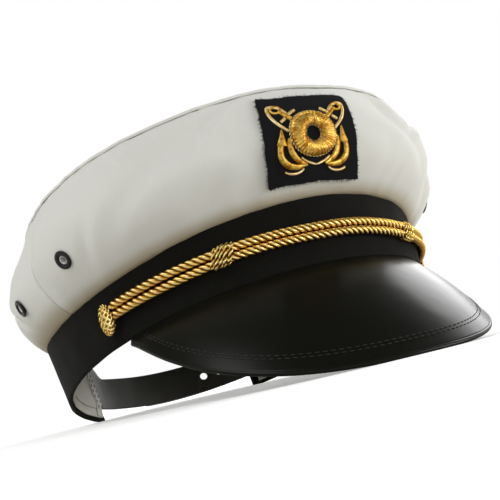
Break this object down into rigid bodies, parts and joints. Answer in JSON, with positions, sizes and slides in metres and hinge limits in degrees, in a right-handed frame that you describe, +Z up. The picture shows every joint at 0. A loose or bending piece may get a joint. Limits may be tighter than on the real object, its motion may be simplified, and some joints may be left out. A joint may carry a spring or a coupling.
{
  "type": "captain hat",
  "caption": "Soft white yacht cap with a black band, glossy peak, gold twisted cord, embroidered nautical badge, vent eyelets and an open back with a snap strap.",
  "frame": {"origin": "middle of the hat's bounding box, on the surface that it rests on", "axes": "+X to the wearer's left, +Y to the back of the hat, +Z up; the hat rests on the peak's tip and the band's two back ends, so its head opening is tipped back 14 degrees from level"},
  "size_m": [0.209, 0.2612, 0.1213],
  "materials": {
    "white_cotton": "off-white plain cotton",
    "black_twill": "black twill",
    "grey_cotton": "undyed cotton",
    "patent_vinyl": "glossy black patent vinyl",
    "gold_cord": "gold metallic twisted cord",
    "badge_cloth": "black woven cloth",
    "gold_thread": "gold metallic embroidery",
    "black_metal": "black enamelled metal",
    "strap_plastic": "satin black plastic"
  },
  "bodies": {
    "root": {"crown_front": "white_cotton", "crown_back": "white_cotton", "crown_top": "white_cotton", "band": "black_twill", "sweatband": "grey_cotton", "peak": "patent_vinyl", "cord_upper": "gold_cord", "cord_lower": "gold_cord", "cord_knot_right": "gold_cord", "cord_knot_left": "gold_cord", "cord_end_right": "gold_cord", "cord_end_left": "gold_cord", "badge_patch": "badge_cloth", "badge_anchors": "gold_thread", "badge_ring": "gold_thread", "eyelet_right_front": "black_metal", "eyelet_right_back": "black_metal", "eyelet_left_front": "black_metal", "eyelet_left_back": "black_metal", "strap_hole_half": "strap_plastic", "strap_peg_half": "strap_plastic"}
  },
  "joints": []
}
